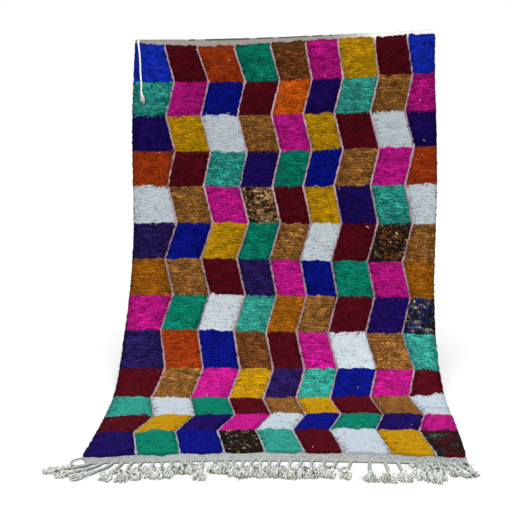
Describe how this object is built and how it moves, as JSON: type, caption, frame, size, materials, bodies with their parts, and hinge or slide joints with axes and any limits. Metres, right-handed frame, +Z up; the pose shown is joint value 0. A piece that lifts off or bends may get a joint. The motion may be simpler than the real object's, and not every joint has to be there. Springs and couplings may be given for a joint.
{
  "type": "hanging long-pile wool rug",
  "caption": "Long-pile wool rug of coloured lozenges, hung by its top edge and curving out over the floor, with a knotted fringe.",
  "frame": {"origin": "middle of the top edge, on the back face of the cloth", "axes": "+Z up, +X to the right as seen from the pile side, and the pile faces -Y"},
  "size_m": [1.6467, 1.5265, 1.6615],
  "materials": {
    "pile_wool": "long knotted wool pile in many colours, matt with a soft sheen",
    "edge_wool": "shaggy wool edge, matt",
    "flat_weave": "plain grey-beige flat weave, matt",
    "braid_wool": "off-white braided yarn, matt"
  },
  "bodies": {
    "root": {"pile_field": "pile_wool", "left_selvedge": "edge_wool", "right_selvedge": "edge_wool", "top_heading": "flat_weave", "bottom_heading": "flat_weave", "corner_braid": "braid_wool", "braid_tassel": "braid_wool"}
  },
  "joints": []
}
